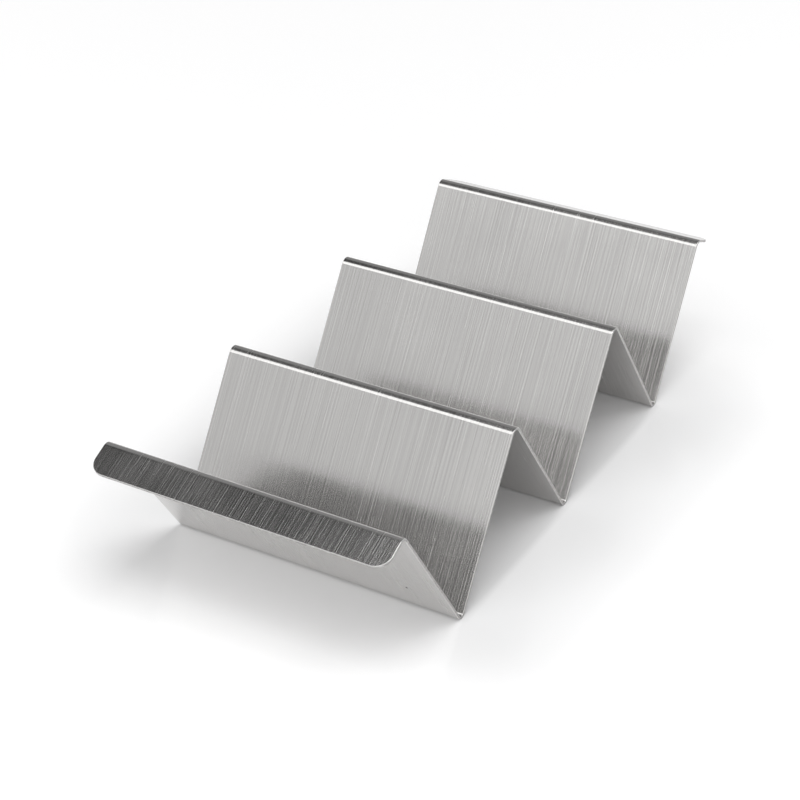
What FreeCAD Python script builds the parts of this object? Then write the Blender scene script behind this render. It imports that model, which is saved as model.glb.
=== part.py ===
import FreeCAD, Part
import math
import os

os.makedirs("parts", exist_ok=True)

# A taco holder: one strip of steel sheet, folded into a row of V-shaped valleys.
# X runs along the bends, Y along the row of valleys, and Z up.
# The origin is on the table, under the middle of the holder.
# Lengths are in millimetres and angles in degrees.

# The sheet, and how far its cut edges are broken so that they don't scratch
sheet_thickness = 0.9
strip_width = 101.6
edge_break = 0.15

# The valleys, which rest on the table
valley_count = 3
valley_pitch = 67.5
valley_inside_radius = 1.0

# The crests: their heights over the table, and the inside radius of their bends
inner_crest_height = 48.0
end_crest_height = 49.0
crest_inside_radius = 2.0

# How far the wall at each end of the row leans from upright
end_wall_lean = 32.0

# The lip that slopes down and outward from each end crest
lip_slope = 24.0
lip_length = 9.4
lip_corner_radius = 5.0

QUARTER_TURN = 90.0
HALF_TURN = 180.0

# The heights of the bends' axes. A valley's axis is above the sheet, and a crest's is under it.
valley_axis_height = sheet_thickness + valley_inside_radius
inner_crest_axis_height = inner_crest_height - sheet_thickness - crest_inside_radius
end_crest_axis_height = end_crest_height - sheet_thickness - crest_inside_radius

# A wall touches a valley bend on one side and a crest bend on the other,
# so the distance between their axes, square to the wall, is both radii and the sheet.
axes_across_wall = valley_inside_radius + crest_inside_radius + sheet_thickness


def inner_wall_lean():
    """The lean of the wall between a valley and the crest that is half a pitch away."""
    run = valley_pitch / 2
    rise = inner_crest_axis_height - valley_axis_height
    lean_of_axes = math.atan2(run, rise)
    turn_to_wall = math.asin(axes_across_wall / math.hypot(run, rise))
    return math.degrees(lean_of_axes - turn_to_wall)


def end_wall_run():
    """The distance along Y from an end valley's axis to the end crest's axis."""
    lean = math.radians(end_wall_lean)
    rise = end_crest_axis_height - valley_axis_height
    return rise * math.tan(lean) + axes_across_wall / math.cos(lean)


def direction(angle):
    """The unit vector in the YZ plane that is turned by this angle from +Y towards +Z."""
    turn = math.radians(angle)
    return FreeCAD.Vector(0, math.cos(turn), math.sin(turn))


class Bend:
    """A bend between two flats, each given by the direction in which its upper face looks."""

    def __init__(self, y, z, inside_radius, is_crest, facing_before, facing_after):
        self.axis = FreeCAD.Vector(0, y, z)
        self.inside_radius = inside_radius
        self.is_crest = is_crest
        self.facing_before = facing_before
        self.facing_after = facing_after

    def point(self, facing, on_upper_face):
        """The bend's point where the upper face looks this way, on that face or through the sheet."""
        is_outside = self.is_crest == on_upper_face
        radius = self.inside_radius + (sheet_thickness if is_outside else 0)
        side = 1 if self.is_crest else -1
        return self.axis + direction(facing) * (side * radius)

    def arc(self, on_upper_face):
        facing_middle = (self.facing_before + self.facing_after) / 2
        start = self.point(self.facing_before, on_upper_face)
        middle = self.point(facing_middle, on_upper_face)
        end = self.point(self.facing_after, on_upper_face)
        return Part.Arc(start, middle, end).toShape()


def flat_facings():
    """Which way each flat's upper face looks, from the front lip over every wall to the back lip."""
    wall_count = 2 * valley_count
    leans = [inner_wall_lean()] * wall_count
    leans[0] = end_wall_lean
    leans[-1] = end_wall_lean
    walls = []
    for number, lean in enumerate(leans):
        falls_to_the_back = number % 2 == 0
        walls.append(lean if falls_to_the_back else HALF_TURN - lean)
    return [QUARTER_TURN + lip_slope] + walls + [QUARTER_TURN - lip_slope]


def all_bends():
    """The bends from the front to the back: a crest at each end, and valleys and crests in turn."""
    facings = flat_facings()
    last = 2 * valley_count
    end_crest_y = (valley_count - 1) * valley_pitch / 2 + end_wall_run()
    bends = []
    for number in range(last + 1):
        is_crest = number % 2 == 0
        y = (number - valley_count) * valley_pitch / 2
        z = inner_crest_axis_height if is_crest else valley_axis_height
        if number == 0:
            y = -end_crest_y
            z = end_crest_axis_height
        if number == last:
            y = end_crest_y
            z = end_crest_axis_height
        inside_radius = crest_inside_radius if is_crest else valley_inside_radius
        bend = Bend(y, z, inside_radius, is_crest, facings[number], facings[number + 1])
        bends.append(bend)
    return bends


def face_points(bends, on_upper_face):
    """Where one face of the sheet starts at the front lip's edge and ends at the back lip's."""
    front = bends[0]
    back = bends[-1]
    down_front_lip = direction(front.facing_before + QUARTER_TURN)
    down_back_lip = direction(back.facing_after - QUARTER_TURN)
    start = front.point(front.facing_before, on_upper_face) + down_front_lip * lip_length
    end = back.point(back.facing_after, on_upper_face) + down_back_lip * lip_length
    return start, end


def face_edges(bends, on_upper_face):
    """One face of the sheet in section: the bends' arcs, with the lips and walls as lines."""
    here, end = face_points(bends, on_upper_face)
    edges = []
    for bend in bends:
        edges.append(Part.makeLine(here, bend.point(bend.facing_before, on_upper_face)))
        edges.append(bend.arc(on_upper_face))
        here = bend.point(bend.facing_after, on_upper_face)
    edges.append(Part.makeLine(here, end))
    return edges


def sheet_section():
    """The sheet's closed section across the bends, in the YZ plane."""
    bends = all_bends()
    upper_start, upper_end = face_points(bends, True)
    lower_start, lower_end = face_points(bends, False)
    edges = face_edges(bends, True)
    edges.append(Part.makeLine(upper_end, lower_end))
    edges.extend(reversed(face_edges(bends, False)))
    edges.append(Part.makeLine(lower_start, upper_start))
    return Part.Face(Part.Wire(edges))


def is_line_of(edge, length):
    """Whether an edge is straight and this long."""
    is_straight = isinstance(edge.Curve, Part.Line)
    return is_straight and abs(edge.Length - length) < Part.Precision.approximation()


def is_through_sheet(edge):
    """Whether an edge crosses the sheet from face to face, as a lip's corners do."""
    return is_line_of(edge, sheet_thickness)


def is_bend_line(edge):
    """Whether an edge runs over the whole strip, as the line between a flat and a bend does."""
    return is_line_of(edge, strip_width)


def round_lip_corners(sheet):
    """The lips' corners, rounded as far as the lips are long enough for it."""
    corners = [edge for edge in sheet.Edges if is_through_sheet(edge)]
    radius = min(lip_corner_radius, lip_length)
    return sheet.makeFillet(radius, corners)


def break_cut_edges(sheet):
    """A small chamfer along both faces of the sheet, all the way round its cut outline."""
    outline = []
    for edge in sheet.Edges:
        if not is_through_sheet(edge) and not is_bend_line(edge):
            outline.append(edge)
    return sheet.makeChamfer(edge_break, outline)


def folded_sheet():
    """The whole holder: its section over the strip's width, with its corners and edges finished."""
    section = sheet_section()
    section.translate(FreeCAD.Vector(-strip_width / 2, 0, 0))
    sheet = section.extrude(FreeCAD.Vector(strip_width, 0, 0))
    sheet = round_lip_corners(sheet)
    return break_cut_edges(sheet)


folded_sheet().exportStep("parts/folded_sheet.step")
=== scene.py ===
import math
from bisect import bisect_right

import bpy
from mathutils import Matrix, Vector


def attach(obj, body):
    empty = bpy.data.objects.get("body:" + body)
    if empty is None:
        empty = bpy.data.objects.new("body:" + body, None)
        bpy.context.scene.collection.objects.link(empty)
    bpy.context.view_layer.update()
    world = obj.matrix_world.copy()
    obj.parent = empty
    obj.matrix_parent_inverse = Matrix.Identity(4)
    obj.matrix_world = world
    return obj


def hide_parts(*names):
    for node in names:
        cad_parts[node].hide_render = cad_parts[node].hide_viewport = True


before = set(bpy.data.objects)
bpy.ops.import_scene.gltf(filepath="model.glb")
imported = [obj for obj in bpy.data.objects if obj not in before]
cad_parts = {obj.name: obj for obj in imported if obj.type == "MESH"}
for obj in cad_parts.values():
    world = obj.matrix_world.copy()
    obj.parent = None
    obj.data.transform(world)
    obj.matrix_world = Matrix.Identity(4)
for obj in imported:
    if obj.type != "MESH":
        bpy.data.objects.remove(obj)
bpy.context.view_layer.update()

# A taco holder: one strip of brushed steel, folded into a row of V-shaped valleys.
# X runs along the bends, Y along the row of valleys, and Z up.
# Lengths are in metres, and angles in degrees.

MM = 0.001
QUARTER_TURN = 90.0
HALF_TURN = 180.0
WHITE = (1.0, 1.0, 1.0, 1.0)

# The sheet, with the sizes of the solid that it stands for.
# A wall leans from upright, and a lip slopes down from level.
SHEET_THICKNESS = 0.9 * MM
STRIP_WIDTH = 101.6 * MM
EDGE_ROUNDING = 0.2 * MM
VALLEY_COUNT = 3
VALLEY_PITCH = 67.5 * MM
VALLEY_INSIDE_RADIUS = 1.0 * MM
INNER_CREST_HEIGHT = 48.0 * MM
END_CREST_HEIGHT = 49.0 * MM
CREST_INSIDE_RADIUS = 2.0 * MM
END_WALL_LEAN = 32.0
LIP_SLOPE = 24.0
LIP_LENGTH = 9.4 * MM
LIP_CORNER_RADIUS = 5.0 * MM

# How finely the sheet is divided: the longest step round a bend, the usual step along a flat,
# the columns across the strip, and the steps round a lip's corner and round the edge's rounding
BEND_STEP = 5.0
FLAT_STEP = 3.0 * MM
COLUMN_COUNT = 44
CORNER_STEPS = 14
ROUNDING_STEPS = 4

# What the mesh holds for its material, by name: the sheet's flat pattern, and how far each
# point belongs to the cut edge. In the pattern X runs across the strip and Y along it from
# the front lip's edge, and the lower face lies this far beside the upper one.
PATTERN = "sheet"
CUT_SHARE = "cut_edge"
LOWER_FACE_SHIFT = 3 * STRIP_WIDTH

# Round the edge, the share of the cut is the sine of the turn to this power
CUT_SHARE_POWER = 4

# The camera, fitted to the photograph's bends and cut edges.
# Its azimuth is counted from the front towards +X, and its lens and sensor are in millimetres.
CAMERA_PLACE = (0.2920717, -0.4933910, 0.3816767)
CAMERA_AZIMUTH = 31.47
CAMERA_ELEVATION = 31.92
CAMERA_ROLL = -1.56
CAMERA_LENS = 93.678
CAMERA_SENSOR = 36.0
CAMERA_NEAR_LIMIT = 10.0 * MM


# The sheet's course

def facing_direction(facing):
    """The unit vector in the YZ plane that is turned by this angle from +Y towards +Z."""
    turn = math.radians(facing)
    return Vector((0.0, math.cos(turn), math.sin(turn)))


def inner_wall_lean(rise, across):
    """The lean of an inner wall, from how far its bends' axes lie apart in height and across it."""
    run = VALLEY_PITCH / 2
    return math.degrees(math.atan2(run, rise) - math.asin(across / math.hypot(run, rise)))


def end_wall_run(rise, across):
    """How far the axis of an end crest lies beyond that of the valley beside it."""
    lean = math.radians(END_WALL_LEAN)
    return rise * math.tan(lean) + across / math.cos(lean)


def section_of_bends():
    """Each bend as (its axis, whether it is a crest, the sheet's facing before it and after it)."""
    valley_z = SHEET_THICKNESS + VALLEY_INSIDE_RADIUS
    inner_z = INNER_CREST_HEIGHT - SHEET_THICKNESS - CREST_INSIDE_RADIUS
    end_z = END_CREST_HEIGHT - SHEET_THICKNESS - CREST_INSIDE_RADIUS
    across = VALLEY_INSIDE_RADIUS + CREST_INSIDE_RADIUS + SHEET_THICKNESS
    last = 2 * VALLEY_COUNT

    leans = [inner_wall_lean(inner_z - valley_z, across)] * last
    leans[0] = leans[-1] = END_WALL_LEAN
    facings = [QUARTER_TURN + LIP_SLOPE]
    for i, lean in enumerate(leans):
        facings.append(lean if i % 2 == 0 else HALF_TURN - lean)
    facings.append(QUARTER_TURN - LIP_SLOPE)

    end_y = (VALLEY_COUNT - 1) * VALLEY_PITCH / 2 + end_wall_run(end_z - valley_z, across)
    bends = []
    for i in range(last + 1):
        is_crest = i % 2 == 0
        y = (i - VALLEY_COUNT) * VALLEY_PITCH / 2
        z = inner_z if is_crest else valley_z
        if i in (0, last):
            y = -end_y if i == 0 else end_y
            z = end_z
        bends.append((Vector((0.0, y, z)), is_crest, facings[i], facings[i + 1]))
    return bends


def middle_radius(is_crest):
    """A bend's radius at the middle of the sheet's thickness."""
    inside = CREST_INSIDE_RADIUS if is_crest else VALLEY_INSIDE_RADIUS
    return inside + SHEET_THICKNESS / 2


def middle_point(bend, facing):
    """The middle of the sheet's thickness in a bend, where the sheet faces this way."""
    axis, is_crest, _, _ = bend
    radius = middle_radius(is_crest)
    return axis + facing_direction(facing) * (radius if is_crest else -radius)


def course_of_sheet():
    """The sheet's middle from lip to lip: lengths along it, points, facings and bend starts."""
    bends = section_of_bends()
    front_facing, back_facing = bends[0][2], bends[-1][3]
    front_lip = facing_direction(front_facing + QUARTER_TURN) * LIP_LENGTH
    back_lip = facing_direction(back_facing - QUARTER_TURN) * LIP_LENGTH
    lengths = [0.0]
    points = [middle_point(bends[0], front_facing) + front_lip]
    facings = [front_facing]
    bend_starts = []

    def go_to(point, facing, step):
        lengths.append(lengths[-1] + step)
        points.append(point)
        facings.append(facing)

    def go_straight(end, facing):
        start = points[-1]
        flat = (end - start).length
        parts = max(1, round(flat / FLAT_STEP))
        for k in range(1, parts + 1):
            go_to(start.lerp(end, k / parts), facing, flat / parts)

    for bend in bends:
        _, is_crest, before, after = bend
        go_straight(middle_point(bend, before), before)
        bend_starts.append(lengths[-1])
        turn = after - before
        arc = math.radians(abs(turn)) * middle_radius(is_crest)
        steps = math.ceil(abs(turn) / BEND_STEP)
        for k in range(1, steps + 1):
            facing = before + turn * k / steps
            go_to(middle_point(bend, facing), facing, arc / steps)
    go_straight(points[-1] + back_lip, back_facing)
    return lengths, points, facings, bend_starts


LENGTHS, POINTS, FACINGS, BEND_STARTS = course_of_sheet()
SHEET_LENGTH = LENGTHS[-1]


def at_length(s):
    """The middle point, the facing direction and the direction along the sheet at this length."""
    s = min(max(s, 0.0), SHEET_LENGTH)
    high = min(bisect_right(LENGTHS, s), len(LENGTHS) - 1)
    low = high - 1
    share = (s - LENGTHS[low]) / (LENGTHS[high] - LENGTHS[low])
    facing = FACINGS[low] + (FACINGS[high] - FACINGS[low]) * share
    middle = POINTS[low].lerp(POINTS[high], share)
    return middle, facing_direction(facing), facing_direction(facing - QUARTER_TURN)


# The sheet's mesh

# Where the columns stand across the strip, from -1 at one side to 1 at the other
COLUMN_SHARES = [2 * j / COLUMN_COUNT - 1 for j in range(COLUMN_COUNT + 1)]


class SheetPoints:
    """The sheet's points, each with its normal and its share of the cut."""

    def __init__(self):
        self.places = []
        self.normals = []
        self.cut_shares = []

    def add(self, x, s, depth, normal, cut_share):
        """Adds a point by x, length along the sheet and depth under the upper face."""
        middle, up, along = at_length(s)
        self.places.append(Vector((x, 0, 0)) + middle + up * (SHEET_THICKNESS / 2 - depth))
        nx, ns, nd = normal
        self.normals.append((Vector((nx, 0, 0)) + along * ns + up * nd).normalized())
        self.cut_shares.append(cut_share)
        return len(self.places) - 1


def rows_at(offset):
    """The rows across the sheet, each as (length along it, half width, outward normal).

    The sheet's outline is drawn in by offset all round.
    """
    radius = LIP_CORNER_RADIUS - offset
    corner = []
    for k in range(CORNER_STEPS + 1):
        turn = math.radians(QUARTER_TURN * (1 - k / CORNER_STEPS))
        s = LIP_CORNER_RADIUS - radius * math.sin(turn)
        half = STRIP_WIDTH / 2 - LIP_CORNER_RADIUS + radius * math.cos(turn)
        corner.append((s, half, (math.cos(turn), -math.sin(turn))))
    straight = [s for s in LENGTHS if LIP_CORNER_RADIUS < s < SHEET_LENGTH - LIP_CORNER_RADIUS]
    middle = [(s, STRIP_WIDTH / 2 - offset, (1.0, 0.0)) for s in straight]
    end = [(SHEET_LENGTH - s, half, (nx, -ns)) for s, half, (nx, ns) in reversed(corner)]
    return corner + middle + end


def ring_at(offset):
    """The outline's points, drawn in by offset, as (x, length, outward normal), once round."""
    rows = rows_at(offset)
    sides = rows[1:-1]
    front_s, front_half, _ = rows[0]
    back_s, back_half, _ = rows[-1]
    ring = [(front_half * share, front_s, (0.0, -1.0)) for share in COLUMN_SHARES]
    ring += [(half, s, (nx, ns)) for s, half, (nx, ns) in sides]
    ring += [(back_half * share, back_s, (0.0, 1.0)) for share in reversed(COLUMN_SHARES)]
    ring += [(-half, s, (-nx, ns)) for s, half, (nx, ns) in reversed(sides)]
    return ring


def grid_of_points(points, rows, depth, up):
    """One face of the sheet as rows of points, whose normal is up times the facing direction."""
    grid = []
    for s, half, _ in rows:
        row = [points.add(half * share, s, depth, (0.0, 0.0, up), 0.0) for share in COLUMN_SHARES]
        grid.append(row)
    return grid


def cells_of_grid(rows, grid, is_upper):
    """A grid's quads, each as (its points, their places in the flat pattern)."""
    shift = 0.0 if is_upper else LOWER_FACE_SHIFT
    cells = []
    for i in range(len(rows) - 1):
        for j in range(COLUMN_COUNT):
            corners = [(i, j), (i, j + 1), (i + 1, j + 1), (i + 1, j)]
            if not is_upper:
                corners.reverse()
            quad = [grid[a][b] for a, b in corners]
            places = [(rows[a][1] * COLUMN_SHARES[b] + shift, rows[a][0]) for a, b in corners]
            cells.append((quad, places))
    return cells


def border_of(grid):
    """The points of a grid's border, once round in the order of ring_at."""
    sides = grid[1:-1]
    border = list(grid[0])
    border += [row[-1] for row in sides]
    border += reversed(grid[-1])
    border += [row[0] for row in reversed(sides)]
    return border


def levels_of_cut():
    """The rings round the cut edge, each as (how far drawn in, depth, turn from facing up)."""
    upper = []
    for k in range(1, ROUNDING_STEPS + 1):
        turn = math.radians(QUARTER_TURN * k / ROUNDING_STEPS)
        offset = EDGE_ROUNDING * (1 - math.sin(turn))
        depth = EDGE_ROUNDING * (1 - math.cos(turn))
        upper.append((offset, depth, turn))
    lower = [(offset, SHEET_THICKNESS - depth, math.pi - turn) for offset, depth, turn in upper]
    return upper + lower[::-1]


def rings_of_cut(points, upper_grid, lower_grid):
    """The rings from face to face, each as (its points, their places in the flat pattern)."""
    face = ring_at(EDGE_ROUNDING)
    rings = [(border_of(upper_grid), [(x, s) for x, s, _ in face])]
    for offset, depth, turn in levels_of_cut():
        out, up = math.sin(turn), math.cos(turn)
        cut_share = out ** CUT_SHARE_POWER
        ring, places = [], []
        for x, s, (nx, ns) in ring_at(offset):
            ring.append(points.add(x, s, depth, (nx * out, ns * out, up), cut_share))
            places.append((x + nx * depth, s + ns * depth))
        rings.append((ring, places))
    places = [(x + nx * SHEET_THICKNESS, s + ns * SHEET_THICKNESS) for x, s, (nx, ns) in face]
    rings.append((border_of(lower_grid), places))
    return rings


def cells_of_rings(rings):
    """The quads between each ring and the next, each as (its points, their places)."""
    cells = []
    for (upper, upper_places), (lower, lower_places) in zip(rings, rings[1:]):
        for k in range(len(upper)):
            n = (k + 1) % len(upper)
            quad = [upper[k], lower[k], lower[n], upper[n]]
            places = [upper_places[k], lower_places[k], lower_places[n], upper_places[n]]
            cells.append((quad, places))
    return cells


def sheet_mesh():
    """The whole sheet: both faces as grids, and the rounded cut edge that joins them."""
    points = SheetPoints()
    rows = rows_at(EDGE_ROUNDING)
    upper = grid_of_points(points, rows, 0.0, 1.0)
    lower = grid_of_points(points, rows, SHEET_THICKNESS, -1.0)
    cells = cells_of_grid(rows, upper, True) + cells_of_grid(rows, lower, False)
    cells += cells_of_rings(rings_of_cut(points, upper, lower))

    mesh = bpy.data.meshes.new("brushed_sheet")
    mesh.from_pydata(points.places, [], [quad for quad, _ in cells])
    pattern = mesh.uv_layers.new(name=PATTERN)
    pattern.uv.foreach_set("vector", [c for _, places in cells for place in places for c in place])
    cut_shares = mesh.attributes.new(CUT_SHARE, "FLOAT", "POINT")
    cut_shares.data.foreach_set("value", points.cut_shares)
    mesh.polygons.foreach_set("use_smooth", [True] * len(mesh.polygons))
    mesh.normals_split_custom_set_from_vertices(points.normals)
    mesh.update()
    return mesh


# Helpers for the node trees

def empty_tree(owner):
    """The node tree of a material or a world, with nothing in it."""
    owner.use_nodes = True
    owner.node_tree.nodes.clear()
    return owner.node_tree


def put(tree, kind, **settings):
    """A new node of this kind, with its own settings as named."""
    node = tree.nodes.new(kind)
    for name, value in settings.items():
        setattr(node, name, value)
    return node


def feed(socket, value):
    """Links an input to another node's output, or sets it to a constant."""
    if isinstance(value, bpy.types.NodeSocket):
        socket.id_data.links.new(value, socket)
    else:
        socket.default_value = value


def fill(node, **values):
    """Feeds a node's inputs, named in lower case with _ for a space, and gives the node."""
    for name, value in values.items():
        label = name.replace("_", " ")
        feed(next(s for s in node.inputs if s.enabled and s.name.lower() == label), value)
    return node


def math_node(tree, operation, first, second=0.0):
    """One step of arithmetic on values that are constants or other nodes' outputs."""
    node = put(tree, "ShaderNodeMath", operation=operation)
    feed(node.inputs[0], first)
    feed(node.inputs[1], second)
    return node.outputs["Value"]


def vector_node(tree, operation, first, second=None):
    """One step of arithmetic on vectors. Some steps take only the first."""
    node = put(tree, "ShaderNodeVectorMath", operation=operation)
    feed(node.inputs[0], first)
    if second is not None:
        feed(node.inputs[1], second)
    return node


def ranged(tree, value, low, high, to_low, to_high, smooth=False):
    """A value taken from one range to another, and held at its ends."""
    kind = "SMOOTHSTEP" if smooth else "LINEAR"
    node = put(tree, "ShaderNodeMapRange", interpolation_type=kind, clamp=True)
    fill(node, value=value, from_min=low, from_max=high, to_min=to_low, to_max=to_high)
    return node.outputs["Result"]


def noise(tree, where, pattern):
    """A noise over the flat pattern, by its scales across and along, its detail and roughness."""
    across, along, detail, roughness = pattern
    place = fill(put(tree, "ShaderNodeMapping"), vector=where, scale=(across, along, 1.0))
    texture = put(tree, "ShaderNodeTexNoise")
    fill(texture, vector=place.outputs["Vector"], scale=1.0, detail=detail, roughness=roughness)
    return texture.outputs["Fac"]


def blend_colours(tree, share, first, second):
    """A colour that goes from the first to the second as the share goes from 0 to 1."""
    node = put(tree, "ShaderNodeMix", data_type="RGBA")
    feed(node.inputs["Factor"], share)
    colours = [socket for socket in node.inputs if socket.type == "RGBA"]
    feed(colours[0], first)
    feed(colours[1], second)
    return next(socket for socket in node.outputs if socket.type == "RGBA")


# The steel

# Noises over the flat pattern, as (scale across the strip, scale along it, detail, roughness):
# the grain's soft lines, patches that handling leaves, the burr of the cut, and the waviness
SOFT_LINES = (2900.0, 12.0, 2.0, 0.5)
HANDLING = (30.0, 30.0, 3.0, 0.55)
BURR = (900.0, 900.0, 2.0, 0.6)
WAVINESS = (22.0, 16.0, 1.0, 0.5)

# The values between which a noise is spread out, those for the burr, and how much of the cut's
# duller finish and painted shade shows where the burr is least
NOISE_LOW = 0.30
NOISE_HIGH = 0.70
BURR_LOW = 0.35
BURR_HIGH = 0.65
BURR_LEAST = 0.55

# The grain: fine scratches side by side, each with its own depth, over softer lines.
# A scratch ends and another takes over several times a metre, at staggered places.
# Its slope is the difference between its depth and its neighbour's, and leans the normal
# by at most half the tilt to each side. The soft lines and the waviness are bumps.
SCRATCHES_PER_METRE = 3200.0
SCRATCH_ENDS_PER_METRE = 18.0
SCRATCH_STAGGER = 10.0
SCRATCH_SHARE = 0.6
SCRATCH_TILT = 0.07
SOFT_LINE_DEPTH = 0.012 * MM
WAVE_DEPTH = 0.03 * MM
GRAIN_ANISOTROPY = 0.7

# The steel's colours: the grain's dark and light lines, the cut edge, darkened partly for a duller
# sheared finish and partly as painted shade, and a speck
STEEL_DARK = (0.64, 0.63, 0.62, 1.0)
STEEL_LIGHT = (0.79, 0.78, 0.77, 1.0)
STEEL_CUT_WITH_PAINTED_SHADE = (0.27, 0.265, 0.26, 1.0)
STEEL_SPECK = (0.10, 0.09, 0.08, 1.0)

# The roughness of the grain's lines, and what handling, the cut and a speck add to it.
# Handling adds or takes away up to this much.
DARK_LINE_ROUGHNESS = 0.15
LIGHT_LINE_ROUGHNESS = 0.29
HANDLING_ROUGHNESS = 0.03
CUT_ROUGHNESS = 0.19
SPECK_ROUGHNESS = 0.3

# Small dark specks on the outside of the front wall, as (x, height up the wall, radius),
# and the share of the radius where a speck starts to fade
SPECKS = (
    (37.3 * MM, 13.5 * MM, 0.5 * MM),
    (-15.5 * MM, 17.0 * MM, 0.25 * MM),
)
SPECK_CORE = 0.7


def scratch_depths(tree, number, along):
    """A depth from 0 to 1 for each scratch, and a new one where another scratch takes over."""
    start = put(tree, "ShaderNodeTexWhiteNoise", noise_dimensions="1D")
    feed(start.inputs["W"], number)
    stagger = math_node(tree, "MULTIPLY", start.outputs["Value"], SCRATCH_STAGGER)
    part = math_node(tree, "FLOOR", math_node(tree, "ADD", along, stagger))
    cell = fill(put(tree, "ShaderNodeCombineXYZ"), x=number, y=part)
    depth = put(tree, "ShaderNodeTexWhiteNoise", noise_dimensions="2D")
    feed(depth.inputs["Vector"], cell.outputs["Vector"])
    return depth.outputs["Value"]


def grain_lines(tree, where):
    """Fine straight lines along the strip, from 0 to 1: all of them, the sharp and the soft."""
    place = fill(put(tree, "ShaderNodeSeparateXYZ"), vector=where)
    across = math_node(tree, "MULTIPLY", place.outputs["X"], SCRATCHES_PER_METRE)
    along = math_node(tree, "MULTIPLY", place.outputs["Y"], SCRATCH_ENDS_PER_METRE)
    number = math_node(tree, "FLOOR", across)
    depth = scratch_depths(tree, number, along)
    beside = scratch_depths(tree, math_node(tree, "ADD", number, 1.0), along)
    sharp = ranged(tree, math_node(tree, "SUBTRACT", depth, beside), -1.0, 1.0, 0.0, 1.0)
    soft = ranged(tree, noise(tree, where, SOFT_LINES), NOISE_LOW, NOISE_HIGH, 0.0, 1.0)
    sharp_part = math_node(tree, "MULTIPLY", sharp, SCRATCH_SHARE)
    soft_part = math_node(tree, "MULTIPLY", soft, 1.0 - SCRATCH_SHARE)
    return math_node(tree, "ADD", sharp_part, soft_part), sharp, soft


def cut_marks(tree, where):
    """How far the cut's duller finish and its painted shade show: full on the cut where its burr
    is, and less between.
    """
    share = put(tree, "ShaderNodeAttribute", attribute_name=CUT_SHARE).outputs["Fac"]
    burr = ranged(tree, noise(tree, where, BURR), BURR_LOW, BURR_HIGH, BURR_LEAST, 1.0)
    return math_node(tree, "MULTIPLY", share, burr)


def speck_marks(tree, where):
    """One inside each small dark speck, and zero elsewhere."""
    # The front wall ends where the sheet's second bend, the first valley, starts
    foot = BEND_STARTS[1]
    marks = 0.0
    for x, height, radius in SPECKS:
        place = (x + LOWER_FACE_SHIFT, foot - height, 0.0)
        away = vector_node(tree, "DISTANCE", where, place).outputs["Value"]
        mark = ranged(tree, away, radius * SPECK_CORE, radius, 1.0, 0.0, smooth=True)
        marks = math_node(tree, "MAXIMUM", marks, mark)
    return marks


def steel_colour(tree, grain, cut, specks):
    """The colour of the grain's lines, darkened on the cut, partly as painted shade, and in the
    specks.
    """
    colour = blend_colours(tree, grain, STEEL_DARK, STEEL_LIGHT)
    # The cut's dark colour is partly a duller finish and partly painted shade
    colour = blend_colours(tree, cut, colour, STEEL_CUT_WITH_PAINTED_SHADE)
    return blend_colours(tree, specks, colour, STEEL_SPECK)


def steel_roughness(tree, where, grain, cut, specks):
    """The roughness of the grain's lines, with what handling, the cut and the specks add."""
    roughness = ranged(tree, grain, 0.0, 1.0, DARK_LINE_ROUGHNESS, LIGHT_LINE_ROUGHNESS)
    handling = noise(tree, where, HANDLING)
    most = HANDLING_ROUGHNESS
    for added in (
        ranged(tree, handling, NOISE_LOW, NOISE_HIGH, -most, most),
        math_node(tree, "MULTIPLY", cut, CUT_ROUGHNESS),
        math_node(tree, "MULTIPLY", specks, SPECK_ROUGHNESS),
    ):
        roughness = math_node(tree, "ADD", roughness, added)
    return roughness


def steel_normal(tree, where, across, sharp, soft):
    """The normal over the soft lines and the waviness, leaned across the grain by each scratch."""
    lines = put(tree, "ShaderNodeBump")
    fill(lines, strength=1.0, distance=SOFT_LINE_DEPTH, height=soft)
    waves = put(tree, "ShaderNodeBump")
    fill(waves, strength=1.0, distance=WAVE_DEPTH, height=noise(tree, where, WAVINESS))
    feed(waves.inputs["Normal"], lines.outputs["Normal"])
    tilt = ranged(tree, sharp, 0.0, 1.0, -SCRATCH_TILT / 2, SCRATCH_TILT / 2)
    lean = vector_node(tree, "SCALE", across)
    feed(lean.inputs["Scale"], tilt)
    total = vector_node(tree, "ADD", waves.outputs["Normal"], lean.outputs["Vector"])
    return vector_node(tree, "NORMALIZE", total.outputs["Vector"]).outputs["Vector"]


def steel_material():
    """Brushed stainless steel: a fine straight grain along the strip, and a duller cut edge whose
    darker colour is partly painted shade.
    """
    material = bpy.data.materials.new("brushed_steel")
    tree = empty_tree(material)
    where = put(tree, "ShaderNodeUVMap", uv_map=PATTERN).outputs["UV"]
    across = put(tree, "ShaderNodeTangent", direction_type="UV_MAP", uv_map=PATTERN)
    across = across.outputs["Tangent"]
    grain, sharp, soft = grain_lines(tree, where)
    cut = cut_marks(tree, where)
    specks = speck_marks(tree, where)

    shader = put(tree, "ShaderNodeBsdfPrincipled")
    fill(shader, metallic=1.0, anisotropic=GRAIN_ANISOTROPY, tangent=across)
    fill(shader, base_color=steel_colour(tree, grain, cut, specks))
    fill(shader, roughness=steel_roughness(tree, where, grain, cut, specks))
    fill(shader, normal=steel_normal(tree, where, across, sharp, soft))
    output = put(tree, "ShaderNodeOutputMaterial")
    feed(output.inputs["Surface"], shader.outputs["BSDF"])
    return material


# The floor, the light and the camera

FLOOR_SIZE = 30.0
FLOOR_DROP = 0.02 * MM
FLOOR_COLOUR = (0.86, 0.86, 0.863, 1.0)
FLOOR_ROUGHNESS = 0.11
FLOOR_SPECULAR = 0.6
FLOOR_IOR = 1.5

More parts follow.
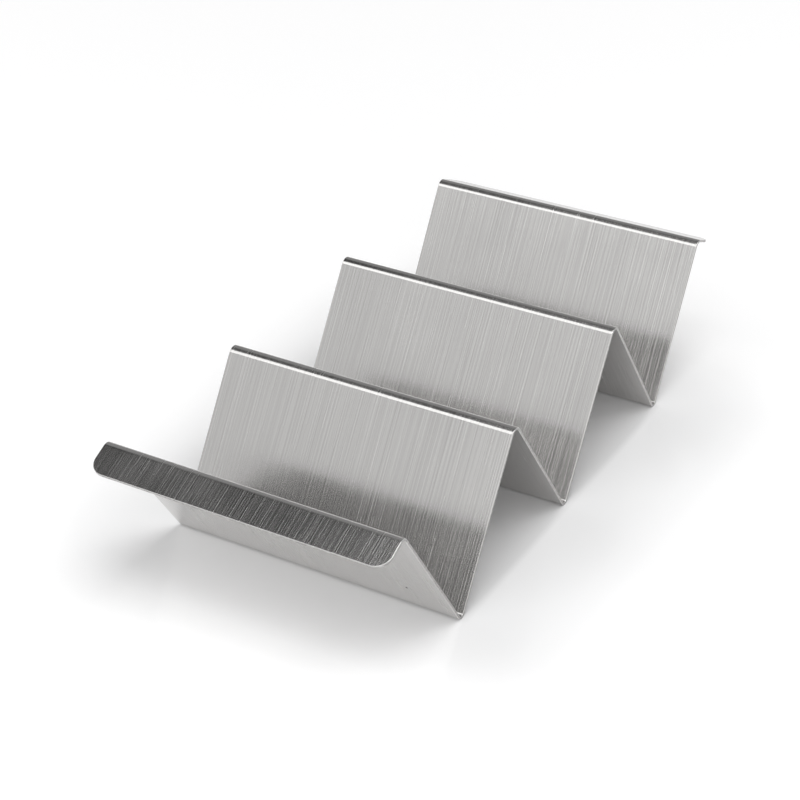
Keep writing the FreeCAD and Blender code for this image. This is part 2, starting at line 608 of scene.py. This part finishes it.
# The floor's own glow, which keeps the distance white and paints light over the outer part of the
# holder's shadow. There is none inside the rectangle of the feet, given by its half sizes, and
# little just outside it, which paints shade under and around the feet. Outside it, each
# rise is (where it starts and ends, counted from the rectangle, the glow it adds, its form).
FEET = (STRIP_WIDTH / 2, VALLEY_PITCH * (VALLEY_COUNT - 1) / 2, 0.0)
GLOW_RISES = (
    (0.0 * MM, 2.5 * MM, 0.09, "straight"),
    (10.0 * MM, 55.0 * MM, 0.19, "smooth"),
    (55.0 * MM, 600.0 * MM, 0.18, "straight"),
)

# The room: pale walls, and a ceiling that grows dim between two heights, which are the Z
# of a direction. A grey patch lies behind the holder, and a bright window in front of it,
# as (direction, angles where its rim starts and ends, level).
WALL_LEVEL = 0.62
CEILING_LEVEL = 0.12
CEILING_STARTS = 0.54
CEILING_FULL = 0.76
ROOM_PATCHES = (
    ((-0.46, 0.82, 0.36), 17.0, 34.0, 0.28),
    ((0.30, -0.88, 0.36), 12.0, 36.0, 1.5),
)

# The part of the ceiling that the front lip mirrors, and the share of its light that is left
DIM_PATCH = ((-0.66, 0.10, 0.74), 9.0, 22.0)
DIM_PATCH_SHARE = 0.05

# The soft boxes, as (name, place, tilt about X and Y, size, radiance)
SOFTBOXES = (
    ("overhead", (0.30, -0.10, 1.05), (5.0, 16.0), (0.7, 0.8), 3.7),
    ("front", (-0.42, -0.52, 0.92), (30.0, 0.0), (1.4, 0.58), 1.2),
)


def seen_by_eye_or_mirror(tree):
    """One for a camera ray, and for a ray that a shiny or clear surface sends on."""
    path = put(tree, "ShaderNodeLightPath").outputs
    either = math_node(tree, "MAXIMUM", path["Is Camera Ray"], path["Is Glossy Ray"])
    return math_node(tree, "MAXIMUM", either, path["Is Transmission Ray"])


def distance_from_feet(tree):
    """How far a point of the floor lies outside the rectangle that the feet stand in."""
    place = put(tree, "ShaderNodeTexCoord").outputs["Object"]
    place = vector_node(tree, "ABSOLUTE", place).outputs["Vector"]
    place = vector_node(tree, "SUBTRACT", place, FEET).outputs["Vector"]
    place = vector_node(tree, "MAXIMUM", place, (0.0, 0.0, 0.0)).outputs["Vector"]
    return vector_node(tree, "LENGTH", place).outputs["Value"]


def floor_glow_and_painted_shade(tree):
    """How strongly the floor glows, for the camera and in mirrors: none at the feet, as painted
    shade, and rising outward as painted light over the holder's shadow.
    """
    away = distance_from_feet(tree)
    glow = 0.0
    # The first rise paints shade at the feet; the later ones paint light over the shadow
    for start, end, added, form in GLOW_RISES:
        rise = ranged(tree, away, start, end, 0.0, added, smooth=form == "smooth")
        glow = math_node(tree, "ADD", glow, rise)
    return math_node(tree, "MULTIPLY", seen_by_eye_or_mirror(tree), glow)


def floor_material():
    """A white floor with a soft gloss and a glow of its own, which paints shade at the holder's
    feet and lightens its shadow further out.
    """
    material = bpy.data.materials.new("white_floor")
    tree = empty_tree(material)
    shader = put(tree, "ShaderNodeBsdfPrincipled")
    fill(shader, base_color=FLOOR_COLOUR, roughness=FLOOR_ROUGHNESS)
    fill(shader, specular_ior_level=FLOOR_SPECULAR, ior=FLOOR_IOR)
    glow = fill(put(tree, "ShaderNodeEmission"), color=WHITE, strength=floor_glow_and_painted_shade(tree))
    both = put(tree, "ShaderNodeAddShader")
    feed(both.inputs[0], shader.outputs["BSDF"])
    feed(both.inputs[1], glow.outputs["Emission"])
    output = put(tree, "ShaderNodeOutputMaterial")
    feed(output.inputs["Surface"], both.outputs["Shader"])
    return material


def lay_floor():
    """A large floor, a hair under the holder's feet."""
    half = FLOOR_SIZE / 2
    corners = [(-half, -half, 0), (half, -half, 0), (half, half, 0), (-half, half, 0)]
    mesh = bpy.data.meshes.new("floor")
    mesh.from_pydata(corners, [], [(0, 1, 2, 3)])
    mesh.materials.append(floor_material())
    floor = bpy.data.objects.new("floor", mesh)
    floor.location.z = -FLOOR_DROP
    bpy.context.scene.collection.objects.link(floor)


def toward(tree, where, direction, inner, outer):
    """One within inner degrees of a direction, falling smoothly to zero at outer degrees."""
    aim = Vector(direction).normalized()
    nearness = vector_node(tree, "DOT_PRODUCT", where, aim).outputs["Value"]
    low, high = math.cos(math.radians(outer)), math.cos(math.radians(inner))
    return ranged(tree, nearness, low, high, 0.0, 1.0, smooth=True)


def mix_levels(tree, share, level, other):
    """A level that goes to another one as the share goes from 0 to 1."""
    kept = math_node(tree, "MULTIPLY", level, math_node(tree, "SUBTRACT", 1.0, share))
    return math_node(tree, "ADD", kept, math_node(tree, "MULTIPLY", share, other))


def light_world():
    """The room, which lights the holder and gives the steel something to mirror."""
    world = bpy.data.worlds.new("studio")
    bpy.context.scene.world = world
    tree = empty_tree(world)
    where = put(tree, "ShaderNodeTexCoord").outputs["Generated"]
    height = fill(put(tree, "ShaderNodeSeparateXYZ"), vector=where).outputs["Z"]
    ceiling = (CEILING_STARTS, CEILING_FULL, WALL_LEVEL, CEILING_LEVEL)
    level = ranged(tree, height, *ceiling, smooth=True)
    for direction, inner, outer, patch_level in ROOM_PATCHES:
        patch = toward(tree, where, direction, inner, outer)
        level = mix_levels(tree, patch, level, patch_level)
    left = ranged(tree, toward(tree, where, *DIM_PATCH), 0.0, 1.0, 1.0, DIM_PATCH_SHARE)
    level = math_node(tree, "MULTIPLY", level, left)
    background = fill(put(tree, "ShaderNodeBackground"), color=WHITE, strength=level)
    output = put(tree, "ShaderNodeOutputWorld")
    feed(output.inputs["Surface"], background.outputs["Background"])


def hang_softbox(name, place, tilts, size, radiance):
    """A soft box that looks down, tilted about X and then Y."""
    light = bpy.data.lights.new(name, "AREA")
    light.shape = "RECTANGLE"
    light.size, light.size_y = size
    light.energy = radiance * math.pi * size[0] * size[1]
    lamp = bpy.data.objects.new(name, light)
    lamp.location = place
    lamp.rotation_euler = (math.radians(tilts[0]), math.radians(tilts[1]), 0.0)
    bpy.context.scene.collection.objects.link(lamp)


def set_camera():
    """The camera that looks as the photograph does, rolled about its line of sight."""
    azimuth = math.radians(CAMERA_AZIMUTH)
    elevation = math.radians(CAMERA_ELEVATION)
    roll = math.radians(CAMERA_ROLL)
    back = Vector((
        math.sin(azimuth) * math.cos(elevation),
        -math.cos(azimuth) * math.cos(elevation),
        math.sin(elevation),
    ))
    right = Vector((0, 0, 1)).cross(back).normalized()
    up = back.cross(right)
    turned_right = right * math.cos(roll) + up * math.sin(roll)
    turned_up = up * math.cos(roll) - right * math.sin(roll)
    camera = bpy.data.cameras.new("camera")
    camera.sensor_width = CAMERA_SENSOR
    camera.lens = CAMERA_LENS
    camera.clip_start = CAMERA_NEAR_LIMIT
    stand = bpy.data.objects.new("camera", camera)
    axes = Matrix((turned_right, turned_up, back)).transposed().to_4x4()
    stand.matrix_world = Matrix.Translation(CAMERA_PLACE) @ axes
    bpy.context.scene.collection.objects.link(stand)
    bpy.context.scene.camera = stand


def build():
    """The sheet in place of the plain solid, and what it is seen with."""
    sheet = bpy.data.objects.new("brushed_sheet", sheet_mesh())
    bpy.context.scene.collection.objects.link(sheet)
    sheet.data.materials.append(steel_material())
    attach(sheet, "root")
    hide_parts("folded_sheet")
    lay_floor()
    light_world()
    for softbox in SOFTBOXES:
        hang_softbox(*softbox)
    set_camera()
    bpy.context.scene.view_settings.view_transform = "Standard"


build()
